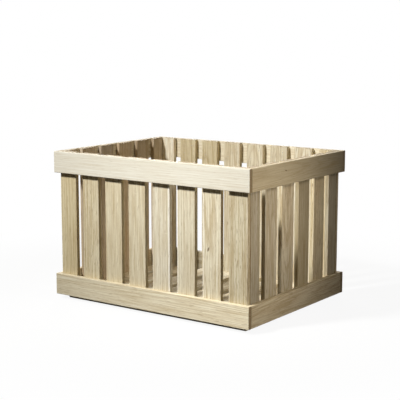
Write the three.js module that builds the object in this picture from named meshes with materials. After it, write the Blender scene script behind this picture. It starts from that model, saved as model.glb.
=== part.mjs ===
// A slatted oak crate, open at the top. Upright slats stand inside two frames of rails, one at the rim
// and one at the base, and the slatted floor lies between the walls on two runners.
// Millimetres. +Z is up, +X runs along the long walls and the front long wall faces -Y.
// The origin is on the ground, under the middle of the crate.

import * as THREE from "three";

// Sizes over all
const crateLength = 480;
const crateWidth = 360;
const wallHeight = 300;

// The thin glue line left wherever two boards meet
const glueLine = 0.3;

// Rails
const railHeight = 44;
const railThickness = 9;

// Upright slats
const slatThickness = 9;
const longWallSlatCount = 8;
const longWallSlatWidth = 42;
const shortWallSlatWidth = 41;
const shortWallWideSlatWidth = 43;
const shortWallFirstSlatWidth = 32;
const shortWallLastSlatWidth = 31;

// Floor
const floorBoardCount = 8;
const floorBoardWidth = 42;
const floorThickness = 9;
const runnerWidth = 40;
const runnerThickness = 9;

// The sanded edges of every board: rounded along the grain, eased at the sawn ends
const edgeRound = 1.1;
const edgeRoundSteps = 2;
const endEase = 0.6;

// Levels and depths that follow
const wallBase = runnerThickness + glueLine;
const slatFace = railThickness + glueLine;
const slatBack = slatFace + slatThickness;
const liningDepth = slatBack + glueLine;

const railOak = new THREE.MeshStandardMaterial({ color: 0xd9c9a3, roughness: 0.62, metalness: 0 });
const slatOak = new THREE.MeshStandardMaterial({ color: 0xd2be94, roughness: 0.65, metalness: 0 });
const floorOak = new THREE.MeshStandardMaterial({ color: 0xc8b48c, roughness: 0.7, metalness: 0 });

// The section of a board, centred on its middle, with rounded corners
function boardSection(width, thickness) {
  const right = width / 2;
  const top = thickness / 2;
  const r = edgeRound;
  const section = new THREE.Shape();
  section.absarc(right - r, top - r, r, 0, Math.PI / 2);
  section.absarc(r - right, top - r, r, Math.PI / 2, Math.PI);
  section.absarc(r - right, r - top, r, Math.PI, 1.5 * Math.PI);
  section.absarc(right - r, r - top, r, 1.5 * Math.PI, 2 * Math.PI);
  return section;
}

// A board with its grain along Z, its width along X and its thickness along Y, centred on the origin
function boardGeometry(width, thickness, length) {
  const geometry = new THREE.ExtrudeGeometry(boardSection(width, thickness), {
    depth: length - 2 * endEase,
    curveSegments: edgeRoundSteps,
    bevelEnabled: true,
    bevelSegments: 1,
    bevelThickness: endEase,
    bevelSize: endEase,
    bevelOffset: -endEase,
  });
  return geometry.translate(0, 0, endEase - length / 2);
}

// The middles of a row of boards spread evenly between two ends, where the widths are given
function spreadMiddles(widths, low, high) {
  const timber = widths.reduce((sum, width) => sum + width, 0);
  const gap = (high - low - timber) / (widths.length - 1);
  let edge = low;
  return widths.map((width) => {
    const middle = edge + width / 2;
    edge += width + gap;
    return middle;
  });
}

// One rail of a wall, laid on edge along the wall with its outer face on the wall's own plane
function rail(name, length, level) {
  const mesh = new THREE.Mesh(boardGeometry(railHeight, railThickness, length), railOak);
  mesh.name = name;
  mesh.rotation.set(0, Math.PI / 2, 0);
  mesh.position.set(0, railThickness / 2, level + railHeight / 2);
  return mesh;
}

// One upright slat of a wall, behind the rails and as high as the wall
function slat(name, width, middle) {
  const mesh = new THREE.Mesh(boardGeometry(width, slatThickness, wallHeight), slatOak);
  mesh.name = name;
  mesh.position.set(middle, slatFace + slatThickness / 2, wallBase + wallHeight / 2);
  return mesh;
}

// A wall seen from outside: X runs along it, Y points into the crate, and Y = 0 is its outer face
function wall(side, railLength, slatWidths, slatSpan) {
  const group = new THREE.Group();
  group.add(rail(`${side}_top_rail`, railLength, wallBase + wallHeight - railHeight));
  group.add(rail(`${side}_bottom_rail`, railLength, wallBase));
  const middles = spreadMiddles(slatWidths, -slatSpan / 2, slatSpan / 2);
  slatWidths.forEach((width, i) => group.add(slat(`${side}_slat_${i + 1}`, width, middles[i])));
  return group;
}

// The long walls carry whole rails, and their end slats cover the edges of the short walls
function longWall(side) {
  const widths = Array(longWallSlatCount).fill(longWallSlatWidth);
  return wall(side, crateLength, widths, crateLength - 2 * slatFace);
}

// The short walls fit between the long ones, rails between rails and slats between slats. The slats at the
// ends of the row are ripped, and one beside the middle is left wider
function shortWall(side) {
  const widths = [
    shortWallFirstSlatWidth,
    shortWallSlatWidth,
    shortWallWideSlatWidth,
    shortWallSlatWidth,
    shortWallSlatWidth,
    shortWallLastSlatWidth,
  ];
  return wall(side, crateWidth - 2 * slatFace, widths, crateWidth - 2 * liningDepth);
}

// A floor board, flat, with its grain from front to back, flush with the underside of the rails
function floorBoard(name, width, middle) {
  const length = crateWidth - 2 * liningDepth;
  const mesh = new THREE.Mesh(boardGeometry(width, floorThickness, length), floorOak);
  mesh.name = name;
  mesh.rotation.set(Math.PI / 2, 0, 0);
  mesh.position.set(middle, 0, wallBase + floorThickness / 2);
  return mesh;
}

// The floor has the rhythm of the long walls, and its end boards are ripped to fit inside the short walls
function floor() {
  const group = new THREE.Group();
  const widths = Array(floorBoardCount).fill(floorBoardWidth);
  const reach = crateLength / 2 - slatFace;
  const middles = spreadMiddles(widths, -reach, reach);
  const ripped = liningDepth - slatFace;
  widths[0] -= ripped;
  middles[0] += ripped / 2;
  widths[floorBoardCount - 1] -= ripped;
  middles[floorBoardCount - 1] -= ripped / 2;
  widths.forEach((width, i) => group.add(floorBoard(`floor_board_${i + 1}`, width, middles[i])));
  return group;
}

// A runner under the ends of the floor boards, as long as the floor
function runner(name, middle) {
  const length = crateLength - 2 * liningDepth;
  const mesh = new THREE.Mesh(boardGeometry(runnerThickness, runnerWidth, length), floorOak);
  mesh.name = name;
  mesh.rotation.set(0, Math.PI / 2, 0);
  mesh.position.set(0, middle, runnerThickness / 2);
  return mesh;
}

// Stands a wall at its side of the crate
function stand(group, x, y, turn) {
  group.position.set(x, y, 0);
  group.rotation.set(0, 0, turn);
  return group;
}

const runnerMiddle = crateWidth / 2 - liningDepth - runnerWidth / 2;

const crate = new THREE.Group();
crate.add(stand(longWall("front"), 0, -crateWidth / 2, 0));
crate.add(stand(longWall("back"), 0, crateWidth / 2, Math.PI));
crate.add(stand(shortWall("right"), crateLength / 2, 0, Math.PI / 2));
crate.add(stand(shortWall("left"), -crateLength / 2, 0, -Math.PI / 2));
crate.add(floor());
crate.add(runner("front_runner", -runnerMiddle));
crate.add(runner("back_runner", runnerMiddle));

export default crate;
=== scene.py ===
import math
import random

import bmesh
import bpy
from mathutils import Matrix, Vector


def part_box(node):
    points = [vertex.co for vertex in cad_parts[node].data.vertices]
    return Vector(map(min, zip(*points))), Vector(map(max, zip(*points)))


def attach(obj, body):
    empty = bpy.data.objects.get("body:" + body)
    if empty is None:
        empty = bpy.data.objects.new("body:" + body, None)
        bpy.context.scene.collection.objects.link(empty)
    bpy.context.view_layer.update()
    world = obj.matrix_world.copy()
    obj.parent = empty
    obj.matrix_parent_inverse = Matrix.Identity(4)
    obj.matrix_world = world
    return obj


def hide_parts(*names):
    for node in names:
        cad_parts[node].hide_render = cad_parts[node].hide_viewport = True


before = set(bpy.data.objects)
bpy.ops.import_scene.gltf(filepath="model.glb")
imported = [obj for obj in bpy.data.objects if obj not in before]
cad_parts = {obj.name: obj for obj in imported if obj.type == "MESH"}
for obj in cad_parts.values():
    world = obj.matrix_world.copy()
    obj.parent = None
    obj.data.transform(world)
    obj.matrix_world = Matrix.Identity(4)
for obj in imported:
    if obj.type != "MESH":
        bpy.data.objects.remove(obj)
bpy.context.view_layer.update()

print("frame loaded:", len(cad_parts), "boards")

# camera, at the place where the photograph was taken

cameraLook = {
    "place": (1.3202, -1.8360, 0.5752),
    "turnLeft": 0.6233,  # radians from looking straight at the front
    "tiltDown": 0.1616,
    "focalLength": 99.53,
    "sensorWidth": 36.0,
}


def addCamera(look):
    data = bpy.data.cameras.new("camera")
    data.lens = look["focalLength"]
    data.sensor_width = look["sensorWidth"]
    camera = bpy.data.objects.new("camera", data)
    camera.location = look["place"]
    camera.rotation_euler = (math.pi / 2 - look["tiltDown"], 0, look["turnLeft"])
    bpy.context.scene.collection.objects.link(camera)
    bpy.context.scene.camera = camera


addCamera(cameraLook)
print("camera placed")


# shader sums are written as Python: a Wire is a socket that can be added, subtracted, multiplied, divided
# and raised to a power


class Wire:
    def __init__(self, sheet, socket):
        self.sheet = sheet
        self.socket = socket

    def maths(self, operation, first, second):
        return self.sheet.node("ShaderNodeMath", {"operation": operation}, {0: first, 1: second})

    def __add__(self, other):
        return self.maths("ADD", self, other)

    def __radd__(self, other):
        return self.maths("ADD", other, self)

    def __sub__(self, other):
        return self.maths("SUBTRACT", self, other)

    def __rsub__(self, other):
        return self.maths("SUBTRACT", other, self)

    def __mul__(self, other):
        return self.maths("MULTIPLY", self, other)

    def __rmul__(self, other):
        return self.maths("MULTIPLY", other, self)

    def __truediv__(self, other):
        return self.maths("DIVIDE", self, other)

    def __rtruediv__(self, other):
        return self.maths("DIVIDE", other, self)

    def __pow__(self, other):
        return self.maths("POWER", self, other)

    def __rpow__(self, other):
        return self.maths("POWER", other, self)


class NodeSheet:
    def __init__(self, owner):
        owner.use_nodes = True
        self.tree = owner.node_tree
        self.tree.nodes.clear()

    def node(self, kind, settings=None, inputs=None, output=0):
        made = self.tree.nodes.new(kind)
        for key, value in (settings or {}).items():
            setattr(made, key, value)
        for key, value in (inputs or {}).items():
            if isinstance(value, Wire):
                self.tree.links.new(value.socket, made.inputs[key])
            else:
                made.inputs[key].default_value = value
        return Wire(self, made.outputs[output]) if made.outputs else made

    def vector(self, x, y, z):
        return self.node("ShaderNodeCombineXYZ", None, {0: x, 1: y, 2: z})

    def parts(self, vector):
        split = self.node("ShaderNodeSeparateXYZ", None, {0: vector})
        return [Wire(self, socket) for socket in split.socket.node.outputs]

    def blend(self, share, first, second, mode="MIX"):
        settings = {"data_type": "RGBA", "blend_type": mode}
        return self.node("ShaderNodeMix", settings, {0: share, 6: first, 7: second}, 2)

    def between(self, value, low, high):
        settings = {"interpolation_type": "SMOOTHSTEP"}
        return self.node("ShaderNodeMapRange", settings, {0: value, 1: low, 2: high})

    def noise(self, vector, detail, roughness=0.5):
        inputs = {"Vector": vector, "Scale": 1.0, "Detail": detail, "Roughness": roughness}
        return self.node("ShaderNodeTexNoise", None, inputs)

    def lineNoise(self, value, detail):
        inputs = {"W": value, "Scale": 1.0, "Detail": detail, "Roughness": 0.5}
        return self.node("ShaderNodeTexNoise", {"noise_dimensions": "1D"}, inputs)

    def attribute(self, name, output):
        return self.node("ShaderNodeAttribute", {"attribute_name": name}, None, output)


def newSheet(name):
    material = bpy.data.materials.new(name)
    return material, NodeSheet(material)


# oak: growth rings round a pith beside or behind the board, so faces, edges and sawn ends belong together

oakLook = {
    "paleWood": (0.750, 0.690, 0.520, 1),
    "honeyWood": (0.535, 0.440, 0.275, 1),
    "poreBrown": (0.300, 0.215, 0.115, 1),
    "knotBrown": (0.120, 0.070, 0.035, 1),
    "rayCream": (0.830, 0.760, 0.590, 1),
    "sapCream": (0.900, 0.845, 0.690, 1),
    "sawnAndShadeTone": (0.50, 0.44, 0.36, 1),  # sawn ends, and painted shade in the corner joints and, in part, on the rim's upward faces
    # noise: how often it changes across and along the grain per metre, its detail, roughness and shift
    "fibre": (1200.0, 20.0, 3.0, 0.6, 0.0),
    "streaks": (470.0, 12.0, 2.0, 0.5, 7.0),
    "bands": (150.0, 2.2, 1.0, 0.5, 5.0),
    "dashes": (700.0, 50.0, 1.0, 0.5, 3.0),
    "pores": (2600.0, 130.0, 1.0, 0.5, 0.0),
    "patches": (20.0, 4.0),  # across and along the grain
    "rays": (42.5, 900.0, 170.0),  # across, through and along the grain
    # rings, and the waves that bend them: how often across and along the grain, and how far in metres
    "ringsPerMetre": 330.0,
    "slowWave": (9.0, 2.3, 0.016),
    "quickWave": (60.0, 9.0, 0.0022),
    "unevenPerMetre": 90.0,
    "unevenRings": 3.2,
    "tonesPerRing": 0.7,
    "earlyRise": (0.0, 0.10),  # parts of a ring
    "earlyFall": (0.16, 0.62),
    # where each of them begins to show and where it is full
    "dashLimits": (0.60, 0.74),
    "poreLimits": (0.54, 0.70),
    "rayLimits": (0.66, 0.78),
    "sapLimits": (0.96, 1.02),
    "honeyLimits": (-0.25, 1.05),
    "latePores": 0.25,  # how strong the pores are outside the early wood
    # knots, in knot widths
    "knotSlant": 0.3,
    "knotLength": 2.4,
    "knotLimits": (0.35, 1.0),
    "bowLimits": (0.2, 4.2),
    "bowReach": 1.5,
    # what each gives to the colour
    "honeyBase": 0.32,
    "honeyStreaks": 1.4,
    "honeyPatchyStreaks": 2.0,
    "honeyBands": 0.7,
    "honeyFibre": 0.9,
    "honeyPatches": 0.5,
    "honeyRings": 0.35,
    "honeyEarly": 0.28,
    "rayShare": 0.20,
    "sapShare": 0.8,
    "dashShare": 0.50,
    "poreShare": 0.34,
    "knotShare": 0.8,
    # what each gives to the relief and the sheen
    "relief": {"fibre": 0.45, "early": 0.15, "pores": 0.6, "dashes": 0.3, "knot": 0.3},
    "grainHeight": 0.00025,
    "bumpStrength": 0.5,
    "roughness": 0.62,
    "rougher": {"fibre": 0.18, "pores": 0.12, "rays": 0.08, "knot": 0.12},
    "specular": 0.12,
}


def oakWood(look):
    material, sheet = newSheet("oak")
    across, through, along = sheet.parts(sheet.attribute("grainPlace", "Vector"))
    pithAcross, pithThrough, seed = sheet.parts(sheet.attribute("pithPlace", "Vector"))
    leanAcross, leanThrough, sapEdge = sheet.parts(sheet.attribute("pithLean", "Vector"))
    knotAcross, knotAlong, knotSize = sheet.parts(sheet.attribute("knotPlace", "Vector"))
    tint = sheet.attribute("boardTint", "Color")
    figure = sheet.attribute("boardTint", "Alpha")
    sawnAndShade = sheet.attribute("sawnEndAndShade", "Fac")

    def stretched(name):
        often, seldom, detail, roughness, shift = look[name]
        spot = sheet.vector(across * often + seed + shift, through * often, along * seldom + shift)
        return sheet.noise(spot, detail, roughness)

    # distance from the knot in knot widths, longer along the grain and a little aslant
    knotX = (across - knotAcross + (along - knotAlong) * look["knotSlant"]) / knotSize
    knotZ = (along - knotAlong) / (knotSize * look["knotLength"])
    knotFar = (knotX * knotX + knotZ * knotZ) ** 0.5
    knotMask = 1 - sheet.between(knotFar, *look["knotLimits"])
    bow = (1 - sheet.between(knotFar, *look["bowLimits"])) * knotSize * look["bowReach"]

    # rings, bent by slow and quick waves and bowed round the knot
    slowAcross, slowAlong, slowReach = look["slowWave"]
    quickAcross, quickAlong, quickReach = look["quickWave"]
    slow = sheet.noise(sheet.vector(across * slowAcross + seed, through * slowAcross, along * slowAlong), 1.0)
    quickSpot = sheet.vector(across * quickAcross, through * quickAcross + seed, along * quickAlong)
    quick = sheet.noise(quickSpot, 2.0)
    wave = (slow - 0.5) * slowReach + (quick - 0.5) * quickReach + bow
    ringX = across - pithAcross + along * leanAcross + wave
    ringY = through - pithThrough + along * leanThrough
    radius = (ringX * ringX + ringY * ringY) ** 0.5
    uneven = sheet.lineNoise(radius * look["unevenPerMetre"] + seed, 1.0)
    ring = radius * look["ringsPerMetre"] + uneven * look["unevenRings"]
    phase = sheet.node("ShaderNodeMath", {"operation": "FRACT"}, {0: ring})
    early = sheet.between(phase, *look["earlyRise"]) * (1 - sheet.between(phase, *look["earlyFall"]))
    ringTone = sheet.lineNoise(ring * look["tonesPerRing"] + seed, 1.0)

    fibre = stretched("fibre")
    streaks = stretched("streaks")
    bands = stretched("bands")
    dashes = sheet.between(stretched("dashes"), *look["dashLimits"])
    poreSpots = sheet.between(stretched("pores"), *look["poreLimits"])
    pores = poreSpots * (look["latePores"] + (1 - look["latePores"]) * early)
    often, seldom = look["patches"]
    patchSpot = sheet.vector(across * often + seed, through * often, along * seldom + seed)
    patches = sheet.noise(patchSpot, 2.0)

    # rays: short pale flecks across the rings, seen where the face runs with them
    rayAcross, rayThrough, rayAlong = look["rays"]
    raySpot = sheet.vector(across * rayAcross + seed, through * rayThrough, along * rayAlong)
    rays = sheet.between(sheet.noise(raySpot, 1.0), *look["rayLimits"])

    honey = (streaks - 0.5) * (look["honeyStreaks"] + look["honeyPatchyStreaks"] * patches)
    honey = honey + (bands - 0.5) * look["honeyBands"] + (fibre - 0.5) * look["honeyFibre"]
    honey = honey + (patches - 0.5) * look["honeyPatches"] + (ringTone - 0.5) * look["honeyRings"]
    honey = look["honeyBase"] + (honey + early * look["honeyEarly"]) * figure
    sap = sheet.between(across / sapEdge, *look["sapLimits"])
    wood = sheet.blend(sheet.between(honey, *look["honeyLimits"]), look["paleWood"], look["honeyWood"])
    wood = sheet.blend(rays * look["rayShare"], wood, look["rayCream"])
    wood = sheet.blend(sap * look["sapShare"], wood, look["sapCream"])
    porous = (dashes * look["dashShare"] + pores * look["poreShare"]) * figure
    wood = sheet.blend(porous, wood, look["poreBrown"])
    wood = sheet.blend(knotMask * look["knotShare"], wood, look["knotBrown"])
    # sawn end grain takes the darker sawn tone, and so does the painted shade in the corner joints and on the
    # rim's upward faces
    sawnAndShadedWood = sheet.blend(1.0, wood, look["sawnAndShadeTone"], "MULTIPLY")
    wood = sheet.blend(sawnAndShade, sheet.blend(1.0, wood, tint, "MULTIPLY"), sawnAndShadedWood)

    relief = look["relief"]
    height = fibre * relief["fibre"] - early * relief["early"] - pores * relief["pores"]
    height = height - dashes * relief["dashes"] - knotMask * relief["knot"]
    bumpInputs = {"Strength": look["bumpStrength"], "Distance": look["grainHeight"], "Height": height}
    bump = sheet.node("ShaderNodeBump", None, bumpInputs)
    rougher = look["rougher"]
    rough = look["roughness"] + (fibre - 0.5) * rougher["fibre"] + pores * rougher["pores"]
    rough = rough - rays * rougher["rays"] - knotMask * rougher["knot"]
    finish = {"Base Color": wood, "Roughness": rough, "Normal": bump, "Specular IOR Level": look["specular"]}
    shader = sheet.node("ShaderNodeBsdfPrincipled", None, finish)
    sheet.node("ShaderNodeOutputMaterial", None, {"Surface": shader})
    return material


oak = oakWood(oakLook)
print("oak mixed")


# boards


def deselectAll():
    if bpy.context.object and bpy.context.object.mode != "OBJECT":
        bpy.ops.object.mode_set(mode="OBJECT")
    bpy.ops.object.select_all(action="DESELECT")


def makeActive(piece):
    deselectAll()
    piece.select_set(True)
    bpy.context.view_layer.objects.active = piece


def selectParts(piece, kind, rule):
    bpy.ops.mesh.select_all(action="DESELECT")
    bpy.ops.mesh.select_mode(type=kind)
    mesh = bmesh.from_edit_mesh(piece.data)
    for part in mesh.edges if kind == "EDGE" else mesh.faces:
        part.select_set(rule(part))
    bmesh.update_edit_mesh(piece.data)


def edgeSpan(edge):
    return edge.verts[1].co - edge.verts[0].co


facing = 0.8  # a face looks along an axis when its unit normal reaches this far along it

boardLook = {
    "edgeRound": 0.0011,
    "edgeSteps": 3,
    "endEase": 0.0006,
    "endSteps": 2,
    "cutsAcross": 5,
    "cutEvery": 0.012,  # along the grain
    "fewestCuts": 3,
    "bowHeight": 0.0004,
    "bowSize": 0.16,
    "planeHeight": 0.0002,
    "planeSize": 0.022,
    "rimPaintedShade": 0.35,  # how far the top rails' upward faces (the rim) are darkened, as painted shade that dims their lit top
    "touching": 0.001,  # slats this near to each other meet in a corner joint
    "jointReach": 0.0012,  # faces this near to the other slat are in the joint and get painted shade
}


# a squared blank with its width along X, thickness along Y and grain along Z, its edges sanded round
def boardBlank(name, size, look):
    width, thickness, length = size
    deselectAll()
    bpy.ops.mesh.primitive_cube_add(size=1, location=(0, 0, 0), scale=(width, thickness, length))
    blank = bpy.context.object
    blank.name = name
    bpy.ops.object.transform_apply(location=False, rotation=False, scale=True)
    bpy.ops.object.mode_set(mode="EDIT")
    selectParts(blank, "EDGE", lambda edge: abs(edgeSpan(edge).z) > length / 2)
    bpy.ops.mesh.bevel(offset=look["edgeRound"], segments=look["edgeSteps"], affect="EDGES")
    selectParts(blank, "FACE", lambda face: abs(face.normal.z) > facing)
    bpy.ops.mesh.region_to_loop()
    bpy.ops.mesh.bevel(offset=look["endEase"], segments=look["endSteps"], affect="EDGES")
    selectParts(blank, "EDGE", lambda edge: abs(edgeSpan(edge).z) > length / 2)
    bpy.ops.mesh.subdivide(number_cuts=max(look["fewestCuts"], round(length / look["cutEvery"])))
    selectParts(blank, "EDGE", lambda edge: abs(edgeSpan(edge).x) > width / 2)
    bpy.ops.mesh.subdivide(number_cuts=look["cutsAcross"])
    bpy.ops.object.mode_set(mode="OBJECT")
    bpy.ops.object.shade_smooth()
    return blank


def nearestInBox(point, box):
    return [min(max(value, low), high) for value, low, high in zip(point, *box)]


def outsideBox(point, box):
    return math.dist(point, nearestInBox(point, box))


# the boxes of the slats that stand against this one at a corner
def cornerMates(node, touching):
    if "slat" not in node:
        return []
    low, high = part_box(node)
    mates = []
    for other in sorted(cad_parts):
        if "slat" in other and other.split("_")[0] != node.split("_")[0]:
            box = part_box(other)
            if outsideBox(nearestInBox((low + high) / 2, box), (low, high)) < touching:
                mates.append(box)
    return mates


def noteOnPoints(mesh, name, kind, values):
    attribute = mesh.attributes.new(name, kind, "POINT")
    field = {"FLOAT_VECTOR": "vector", "FLOAT_COLOR": "color"}[kind]
    attribute.data.foreach_set(field, values)


# what the oak reads on the points: places in the board's own axes, and the board's tint, with painted light
# and shade ramping along the board
def noteGrain(mesh, pick):
    count = len(mesh.vertices)
    places = []
    for vertex in mesh.vertices:
        places.extend(vertex.co)
    noteOnPoints(mesh, "grainPlace", "FLOAT_VECTOR", places)
    noteOnPoints(mesh, "pithPlace", "FLOAT_VECTOR", list(pick["pith"]) * count)
    noteOnPoints(mesh, "knotPlace", "FLOAT_VECTOR", list(pick["knot"]) * count)
    noteOnPoints(mesh, "pithLean", "FLOAT_VECTOR", list(pick["lean"]) * count)
    halfLength = max(vertex.co.z for vertex in mesh.vertices)
    tints = []
    for vertex in mesh.vertices:
        # painted light and shade: the tint grows lighter or darker along the board's length
        light = 1 + pick["paintedLightRamp"] * vertex.co.z / halfLength
        tints.extend([part * light for part in pick["tint"]] + [pick["figure"]])
    noteOnPoints(mesh, "boardTint", "FLOAT_COLOR", tints)


# what it reads on the faces: 1 on sawn end grain and, as painted shade, in a corner joint; less, as painted
# shade, on the rim's upward faces; else 0
def noteSawnAndShade(mesh, node, place, look):
    turn = place.to_3x3()
    mates = cornerMates(node, look["touching"])
    rimPaintedShade = look["rimPaintedShade"] if node.endswith("top_rail") else 0
    marks = []
    for face in mesh.polygons:
        spot = place @ face.center
        inJoint = any(outsideBox(spot, mate) < look["jointReach"] for mate in mates)
        # the rim's upward faces get part of the sawn tone: painted shade that dims their lit top
        rimShade = rimPaintedShade if (turn @ face.normal).z > facing else 0
        marks.append(1.0 if abs(face.normal.z) > facing or inJoint else rimShade)
    mesh.attributes.new("sawnEndAndShade", "FLOAT", "FACE").data.foreach_set("value", marks)


def cloudTexture(name, size, depth):
    texture = bpy.data.textures.new(name, "CLOUDS")
    texture.noise_scale = size
    texture.noise_depth = depth
    return texture


bowTexture = cloudTexture("bow", boardLook["bowSize"], 1)
planeTexture = cloudTexture("planeMarks", boardLook["planeSize"], 2)


def displaceAndApply(piece, texture, height):
    bpy.ops.object.modifier_add(type="DISPLACE")
    displace = piece.modifiers[-1]
    displace.texture = texture
    displace.texture_coords = "GLOBAL"
    displace.strength = height
    displace.mid_level = 0.5
    bpy.ops.object.modifier_apply(modifier=displace.name)


# the board's axes from its CAD box: the longest side is the grain, the shortest the thickness
def boardAxes(node):
    low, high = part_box(node)
    size = high - low
    centre = (low + high) / 2
    shortest, middling, longest = sorted(range(3), key=lambda axis: size[axis])
    grain = Vector([float(axis == longest) for axis in range(3)])
    face = Vector([float(axis == shortest) for axis in range(3)])
    if centre.dot(face) < 0:
        face = -face
    width = face.cross(grain)
    turn = Matrix((width, face, grain)).transposed().to_4x4()
    return centre, turn, (size[middling], size[shortest], size[longest])


# each board beside the others, matched by measure to the photograph. tone: how light it is; the ramp of
# painted light and shade: how much lighter it gets up a slat, or to the right or the back along a rail;
# figure: how strongly it shows; warmth: how yellow, or below 0 how white; the red: how much redder, as
# painted warm shade on the left slats; cut: how it was sawn; knot: its place across and along the board and
# its size; sapwood: how far from the board's middle that pale wood begins
boardTraits = {
    "front_top_rail": {"tone": 1.26, "figure": 0.40, "warmth": -0.08},
    "front_bottom_rail": {"tone": 1.08, "paintedLightRamp": 0.10, "figure": 0.95, "warmth": 0.0},
    "back_top_rail": {"tone": 1.30, "figure": 0.6, "warmth": -0.03},
    # the back bottom rail's low tone is painted shade
    "back_bottom_rail": {"tone": 0.82},
    "left_top_rail": {"tone": 1.05},
    "right_top_rail": {
        "tone": 0.805, "paintedLightRamp": -0.15, "figure": 0.6, "warmth": 0.035, "cut": "flat",
        "knot": (0.006, -0.054, 0.0017),
    },
    "right_bottom_rail": {"tone": 0.96, "paintedLightRamp": -0.07, "cut": "flat"},
    "front_slat_1": {"tone": 0.89, "figure": 1.05, "warmth": 0.07},
    "front_slat_2": {"tone": 0.96, "figure": 1.65, "warmth": 0.03},
    "front_slat_3": {"tone": 1.005, "figure": 1.05},
    "front_slat_4": {"tone": 1.00, "figure": 1.10, "warmth": 0.005},
    "front_slat_5": {"tone": 1.075, "figure": 1.10, "warmth": -0.03, "sapwood": -0.0180},
    "front_slat_6": {"tone": 1.015, "warmth": -0.01, "sapwood": 0.0192},
    "front_slat_7": {
        "tone": 1.05, "figure": 1.50, "warmth": -0.005, "sapwood": 0.0186,
        "knot": (0.0075, -0.011, 0.0026),
    },
    "front_slat_8": {"tone": 0.88, "figure": 1.95, "warmth": 0.02},
    "back_slat_2": {"tone": 1.09, "warmth": -0.03},
    "back_slat_3": {"tone": 1.02, "warmth": -0.02},
    "back_slat_4": {"tone": 1.05},
    "back_slat_5": {"tone": 1.03},
    "back_slat_6": {"tone": 0.88, "warmth": 0.05},
    "back_slat_7": {"tone": 0.90, "warmth": 0.055},
    "back_slat_8": {"tone": 1.34, "warmth": -0.05},
    "right_slat_1": {"tone": 0.705, "paintedLightRamp": 0.16, "figure": 1.60},
    "right_slat_2": {"tone": 0.86, "figure": 1.60, "warmth": -0.01, "cut": "flat"},
    "right_slat_3": {"tone": 0.95, "paintedLightRamp": 0.28, "figure": 1.90, "warmth": 0.0},
    "right_slat_4": {"tone": 0.69, "paintedLightRamp": 0, "figure": 1.0, "warmth": 0.045},
    "right_slat_5": {"tone": 1.06, "paintedLightRamp": 0.20, "figure": 1.9, "warmth": 0.03},
    "right_slat_6": {"tone": 0.73, "paintedLightRamp": 0.04, "figure": 1.2},
    # the left slats' low tones, the darkening towards the top on two of them and their red tint are painted
    # warm shade of the crate's inside
    "left_slat_1": {"tone": 0.81, "paintedLightRamp": 0, "paintedShadeRed": 0.08},
    "left_slat_2": {"tone": 0.74, "paintedLightRamp": -0.05, "paintedShadeRed": 0.08},
    "left_slat_3": {"tone": 0.83, "paintedLightRamp": 0, "paintedShadeRed": 0.08},
    "left_slat_4": {"tone": 0.68, "paintedLightRamp": -0.05, "paintedShadeRed": 0.08},
    "left_slat_5": {"tone": 0.72, "paintedLightRamp": 0, "paintedShadeRed": 0.08},
    "left_slat_6": {"tone": 0.84, "paintedShadeRed": 0.06},
}

# what isn't given above is drawn from these
drawLook = {
    "flatShare": 0.25,  # of the boards are flat-sawn, with the pith behind them
    "flat": {"pithAside": (0.0, 0.012), "pithBehind": (-0.022, -0.045), "lean": 0.10},
    "upright": {"pithAside": (0.06, 0.14), "pithBehind": (-0.05, 0.05), "lean": 0.02},
    "leanAside": 0.03,
    "seeds": (0, 60),
    "knotShare": 0.2,  # of the boards that the photograph doesn't show
    "knotAside": 0.35,
    "knotAlong": 0.12,
    "knotSizes": (0.0018, 0.003),
    "tones": (0.92, 1.06),
    "warmths": (-0.02, 0.02),
    "figures": (1.1, 1.5),
    # the crate's floor boards are made lighter: painted light on the floor
    "floorToneWithPaintedLight": 1.28,
    "floorWarmth": -0.04,
    "redPerWarmth": 0.75,
    "bluePerWarmth": 2,
    # slats are painted lighter towards the top and darker towards the bottom: painted light and shade
    "slatPaintedLightRamp": 0.10,
    "noKnot": (0, 9, 0.002),  # metres away, so that none shows
    "noSapwood": 9,
}


# each draw is made even where the board's own traits win, so that the later ones stay as they are; only the
# cut's draw is skipped where the board gives its cut
def boardPick(node, width, look):
    traits = boardTraits.get(node, {})
    dice = random.Random("oak " + node)
    side = dice.choice((-1, 1))
    cut = look[traits.get("cut") or ("flat" if dice.random() < look["flatShare"] else "upright")]
    pithAcross = side * dice.uniform(*cut["pithAside"])
    pithThrough = dice.uniform(*cut["pithBehind"])
    seed = dice.uniform(*look["seeds"])
    leanAcross = dice.uniform(-look["leanAside"], look["leanAside"])
    leanThrough = dice.uniform(-cut["lean"], cut["lean"])
    knotAcross = dice.uniform(-look["knotAside"], look["knotAside"]) * width
    knotAlong = dice.uniform(-look["knotAlong"], look["knotAlong"])
    rareKnot = (knotAcross, knotAlong, dice.uniform(*look["knotSizes"]))
    unseen = node.startswith(("back", "left", "floor"))
    knot = traits.get("knot", rareKnot if unseen and dice.random() < look["knotShare"] else look["noKnot"])
    onFloor = node.startswith("floor")
    tone = traits.get("tone", dice.uniform(*look["tones"]) * (look["floorToneWithPaintedLight"] if onFloor else 1))
    warmth = traits.get("warmth", dice.uniform(*look["warmths"]) + (look["floorWarmth"] if onFloor else 0))
    figure = traits.get("figure", dice.uniform(*look["figures"]))
    redder = 1 + warmth * look["redPerWarmth"] + traits.get("paintedShadeRed", 0)
    return {
        "pith": (pithAcross, pithThrough, seed),
        "lean": (leanAcross, leanThrough, traits.get("sapwood", look["noSapwood"])),
        "knot": knot,
        "tint": (tone * redder, tone, tone * (1 - warmth * look["bluePerWarmth"])),
        "figure": figure,
        "paintedLightRamp": traits.get("paintedLightRamp", look["slatPaintedLightRamp"] if "slat" in node else 0),
    }


blanks = {}


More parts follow.
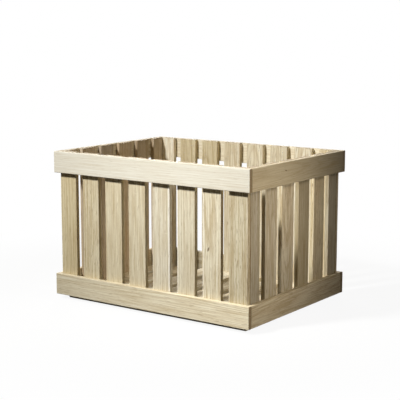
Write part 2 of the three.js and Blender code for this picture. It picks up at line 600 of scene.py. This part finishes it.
def makeBoard(node, look):
    centre, turn, size = boardAxes(node)
    kind = "blank_%d_%d" % (round(size[0] * 10000), round(size[2] * 10000))  # in tenths of a millimetre
    if kind not in blanks:
        blanks[kind] = boardBlank(kind, size, look)
    piece = blanks[kind].copy()
    piece.data = blanks[kind].data.copy()
    piece.name = node + "_oak"
    piece.data.name = piece.name
    bpy.context.scene.collection.objects.link(piece)
    place = Matrix.Translation(centre) @ turn
    noteGrain(piece.data, boardPick(node, size[0], drawLook))
    noteSawnAndShade(piece.data, node, place, look)
    piece.matrix_world = place
    bpy.context.view_layer.update()
    makeActive(piece)
    displaceAndApply(piece, bowTexture, look["bowHeight"])
    displaceAndApply(piece, planeTexture, look["planeHeight"])
    bpy.ops.object.modifier_add(type="WEIGHTED_NORMAL")
    bpy.ops.object.modifier_apply(modifier=piece.modifiers[-1].name)
    bpy.ops.object.transform_apply(location=True, rotation=True, scale=True)
    piece.data.materials.clear()
    piece.data.materials.append(oak)
    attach(piece, "root")
    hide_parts(node)


for node in sorted(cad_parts):
    makeBoard(node, boardLook)
for blank in blanks.values():
    bpy.data.objects.remove(blank)
print("boards made:", len(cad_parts), "from", len(blanks), "blanks")


# brads: low heads inside the crate, over the rails and the runners, and pins at the ends of the long rails

bradLook = {
    "headRadius": 0.0009,
    "pinRadius": 0.0006,
    "dome": 0.0004,
    "domeSteps": (0.7, 0.3),
    "domeInset": 0.32,  # of the radius, at each step
    "smoothUnder": 50,  # degrees
    "sunk": 0.0012,
    "sides": 12,
    "asideShare": 0.24,  # of the board's width, to each side of its middle
    "apartUp": 0.009,
    "pinInset": 0.0045,
    "pinHeights": (0.25, 0.75),
    "steel": (0.50, 0.49, 0.47, 1),
    "rust": (0.20, 0.13, 0.08, 1),
    "spotsPerMetre": 700,
    "stainLimits": (0.52, 0.72),
    "stainShare": 0.6,
    "stainDulls": 0.5,
    "stainRoughens": 0.3,
    "roughness": 0.38,
    "pitDepth": 0.0001,
    "bumpStrength": 0.3,
}


def bradSteel(look):
    material, sheet = newSheet("bradSteel")
    place = sheet.node("ShaderNodeTexCoord", None, None, "Object")
    spot = [part * look["spotsPerMetre"] for part in sheet.parts(place)]
    dull = sheet.noise(sheet.vector(*spot), 2.0)
    stain = sheet.between(dull, *look["stainLimits"])
    bumpInputs = {"Strength": look["bumpStrength"], "Distance": look["pitDepth"], "Height": dull}
    finish = {
        "Base Color": sheet.blend(stain * look["stainShare"], look["steel"], look["rust"]),
        "Metallic": 1 - stain * look["stainDulls"],
        "Roughness": look["roughness"] + stain * look["stainRoughens"],
        "Normal": sheet.node("ShaderNodeBump", None, bumpInputs),
    }
    shader = sheet.node("ShaderNodeBsdfPrincipled", None, finish)
    sheet.node("ShaderNodeOutputMaterial", None, {"Surface": shader})
    return material


# one brad standing on Z, its rim at the origin's level, the dome above and the shank below
def bradBlank(name, radius, look):
    deselectAll()
    bpy.ops.mesh.primitive_cylinder_add(
        vertices=look["sides"], radius=radius, depth=look["sunk"], location=(0, 0, -look["sunk"] / 2))
    brad = bpy.context.object
    brad.name = name
    bpy.ops.object.transform_apply(location=True)
    bpy.ops.object.mode_set(mode="EDIT")
    selectParts(brad, "FACE", lambda face: face.normal.z > facing)
    for share in look["domeSteps"]:
        bpy.ops.mesh.inset(thickness=radius * look["domeInset"])
        bpy.ops.transform.translate(value=(0, 0, look["dome"] * share))
    bpy.ops.object.mode_set(mode="OBJECT")
    bpy.ops.object.shade_smooth_by_angle(angle=math.radians(look["smoothUnder"]))
    return brad


def makeBrads(name, blank, spots, material):
    copies = []
    for point, outward in spots:
        brad = blank.copy()
        brad.data = blank.data.copy()
        brad.matrix_world = Matrix.Translation(point) @ outward.to_track_quat("Z", "Y").to_matrix().to_4x4()
        bpy.context.scene.collection.objects.link(brad)
        copies.append(brad)
    makeActive(copies[0])
    for brad in copies:
        brad.select_set(True)
    bpy.ops.object.join()
    brads = bpy.context.object
    bpy.ops.object.transform_apply(location=True, rotation=True, scale=True)
    brads.name = name
    brads.data.name = name
    brads.data.materials.clear()
    brads.data.materials.append(material)
    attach(brads, "root")


# two brads where a board crosses what it is nailed to, set on a slant
def crossing(board, base, outward, look):
    low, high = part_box(board)
    baseLow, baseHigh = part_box(base)
    middle = [(max(low[i], baseLow[i]) + min(high[i], baseHigh[i])) / 2 for i in range(3)]
    normal = next(i for i in range(3) if outward[i])
    middle[normal] = high[normal] if outward[normal] > 0 else low[normal]
    long = max(range(3), key=lambda i: high[i] - low[i])
    across = 3 - normal - long
    spots = []
    for side in (-1, 1):
        spot = list(middle)
        spot[across] += side * look["asideShare"] * (high[across] - low[across])
        spot[long] += side * look["apartUp"]
        spots.append((Vector(spot), outward))
    return spots


steel = bradSteel(bradLook)
bradHead = bradBlank("brad_head", bradLook["headRadius"], bradLook)
bradPin = bradBlank("brad_pin", bradLook["pinRadius"], bradLook)
inwards = {
    "front": Vector((0, 1, 0)), "back": Vector((0, -1, 0)),
    "left": Vector((1, 0, 0)), "right": Vector((-1, 0, 0)),
}
for side, inward in inwards.items():
    spots = []
    for slat in sorted(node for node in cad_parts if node.startswith(side + "_slat")):
        for level in ("top", "bottom"):
            spots += crossing(slat, side + "_" + level + "_rail", inward, bradLook)
    makeBrads(side + "_brads", bradHead, spots, steel)
spots = []
for board in sorted(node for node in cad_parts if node.startswith("floor_board")):
    for runner in ("front_runner", "back_runner"):
        spots += crossing(board, runner, Vector((0, 0, 1)), bradLook)
makeBrads("floor_brads", bradHead, spots, steel)
spots = []
for side in ("front", "back"):
    for level in ("top", "bottom"):
        low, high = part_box(side + "_" + level + "_rail")
        face = low.y if side == "front" else high.y
        for x in (low.x + bradLook["pinInset"], high.x - bradLook["pinInset"]):
            for share in bradLook["pinHeights"]:
                spots.append((Vector((x, face, low.z + share * (high.z - low.z))), -inwards[side]))
makeBrads("rail_end_pins", bradPin, spots, steel)
bpy.data.objects.remove(bradHead)
bpy.data.objects.remove(bradPin)
print("brads driven")


# floor, backdrop and light

stageLook = {
    "floorSize": 60.0,
    "seenColour": (0.80, 0.80, 0.79, 1),
    "bounceColour": (0.065, 0.061, 0.054, 1),  # what the floor gives back to the wood
    "nearLift": 0.92,  # share of plain white that the camera sees beside the crate
    "nearReach": 0.36,
    "farReach": 0.85,  # from here on the floor is seen as white
    "ambient": (0.030, 0.019, 0.012, 1),
}

lampLook = {
    "key": {
        "place": (-0.860, -2.06, 2.32), "aim": (0.171, -0.18, 0.194),
        "size": (0.42, 0.42), "power": 7.1, "colour": (1, 1, 1), "spread": 40.3,
    },
    "sideCard": {
        "place": (1.04, -0.12, 0.30), "aim": (0.24, -0.170, 0.19),
        "size": (0.40, 0.40), "power": 0.208, "colour": (1.0, 0.90, 0.79), "spread": 36,
    },
    "upperCard": {  # it gives the soft shadow under the right top rail
        "place": (1.10, -0.06, 0.98), "aim": (0.24, -0.05, 0.25),
        "size": (0.36, 0.60), "power": 0.205, "colour": (1.0, 0.90, 0.79), "spread": 30,
    },
    "backCard": {
        "place": (-1.35, 1.75, 0.50), "aim": (0, 0, 0.15),
        "size": (1.4, 1.4), "power": 44.0, "colour": (1.0, 0.96, 0.90), "spread": 180,
    },
}


def seenShare(sheet):
    path = sheet.node("ShaderNodeLightPath").socket.node.outputs
    camera = Wire(sheet, path["Is Camera Ray"])
    glossy = Wire(sheet, path["Is Glossy Ray"])
    through = Wire(sheet, path["Is Transmission Ray"])
    clampedSum = {"operation": "ADD", "use_clamp": True}
    return sheet.node("ShaderNodeMath", clampedSum, {0: camera + glossy, 1: through})


def addFloor(look):
    material, sheet = newSheet("paleFloor")
    place = sheet.node("ShaderNodeTexCoord", None, None, "Object")
    x, y = sheet.parts(place)[:2]
    far = sheet.between((x * x + y * y) ** 0.5, look["nearReach"], look["farReach"])
    lift = look["nearLift"] + far * (1 - look["nearLift"])
    seen = seenShare(sheet)
    colour = sheet.blend(seen, look["bounceColour"], look["seenColour"])
    matt = sheet.node("ShaderNodeBsdfDiffuse", None, {"Color": colour})
    glow = sheet.node("ShaderNodeEmission", None, {"Color": (1, 1, 1, 1), "Strength": 1.0})
    mixed = sheet.node("ShaderNodeMixShader", None, {0: seen * lift, 1: matt, 2: glow})
    sheet.node("ShaderNodeOutputMaterial", None, {"Surface": mixed})
    deselectAll()
    bpy.ops.mesh.primitive_plane_add(size=look["floorSize"], location=(0, 0, 0))
    floor = bpy.context.object
    floor.name = "floor"
    floor.data.materials.append(material)


def addWorld(look):
    world = bpy.data.worlds.new("studio")
    bpy.context.scene.world = world
    sheet = NodeSheet(world)
    soft = sheet.node("ShaderNodeBackground", None, {"Color": look["ambient"], "Strength": 1.0})
    white = sheet.node("ShaderNodeBackground", None, {"Color": (1, 1, 1, 1), "Strength": 1.0})
    mixed = sheet.node("ShaderNodeMixShader", None, {0: seenShare(sheet), 1: soft, 2: white})
    sheet.node("ShaderNodeOutputWorld", None, {"Surface": mixed})


def addLamp(name, look):
    data = bpy.data.lights.new(name, "AREA")
    data.shape = "ELLIPSE"
    data.size, data.size_y = look["size"]
    data.energy = look["power"]
    data.color = look["colour"]
    data.spread = math.radians(look["spread"])
    lamp = bpy.data.objects.new(name, data)
    lamp.location = look["place"]
    lamp.rotation_euler = (lamp.location - Vector(look["aim"])).to_track_quat("Z", "Y").to_euler()
    lamp.visible_camera = False
    bpy.context.scene.collection.objects.link(lamp)


addFloor(stageLook)
addWorld(stageLook)
for name, look in lampLook.items():
    addLamp(name, look)
bpy.context.scene.view_settings.view_transform = "Standard"
print("stage and light ready")
